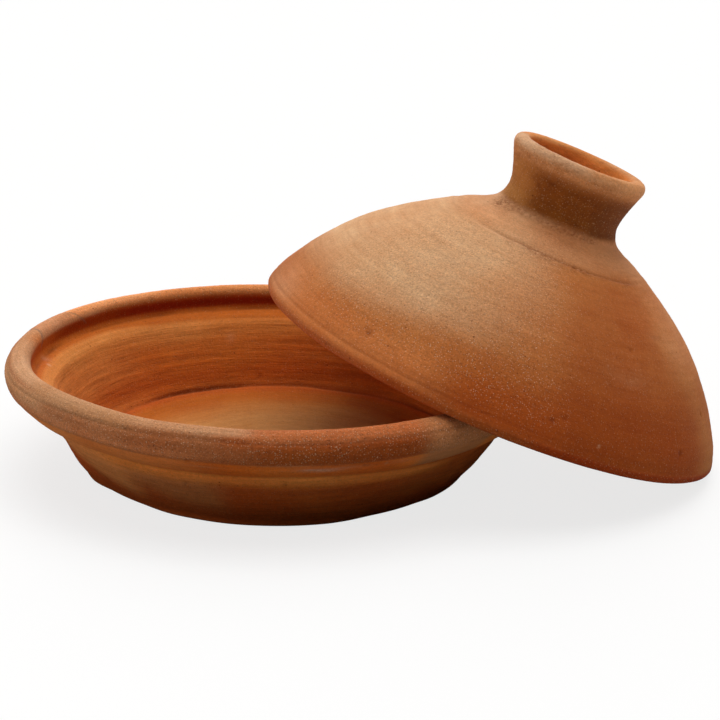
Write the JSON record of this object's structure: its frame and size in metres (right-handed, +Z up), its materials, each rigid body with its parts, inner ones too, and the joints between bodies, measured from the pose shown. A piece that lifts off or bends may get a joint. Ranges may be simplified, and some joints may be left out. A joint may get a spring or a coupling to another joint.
{
  "type": "tagine pot",
  "caption": "Unglazed terracotta tagine: a shallow flared dish with a thick rolled rim and an inner lid seat, and a loose domed lid with a flared hollow neck, leaning on the rim.",
  "frame": {"origin": "centre of the dish's flat underside, on the table", "axes": "+Z up along the dish's axis, +X towards the side the lid leans to"},
  "size_m": [0.3946, 0.3, 0.1843],
  "materials": {
    "dish_clay": "unglazed terracotta, orange inside, buff and gritty on the rolled rim, throwing lines",
    "lid_clay": "unglazed terracotta, buff towards the crown and redder towards the edge, pale grit specks"
  },
  "bodies": {
    "dish": {"dish": "dish_clay"},
    "lid": {"lid": "lid_clay"}
  },
  "joints": [
    {"name": "lid_lift", "type": "slide", "parent": "dish", "child": "lid", "axis": [0, 0, 1], "range_m": [0, 0.12]}
  ]
}
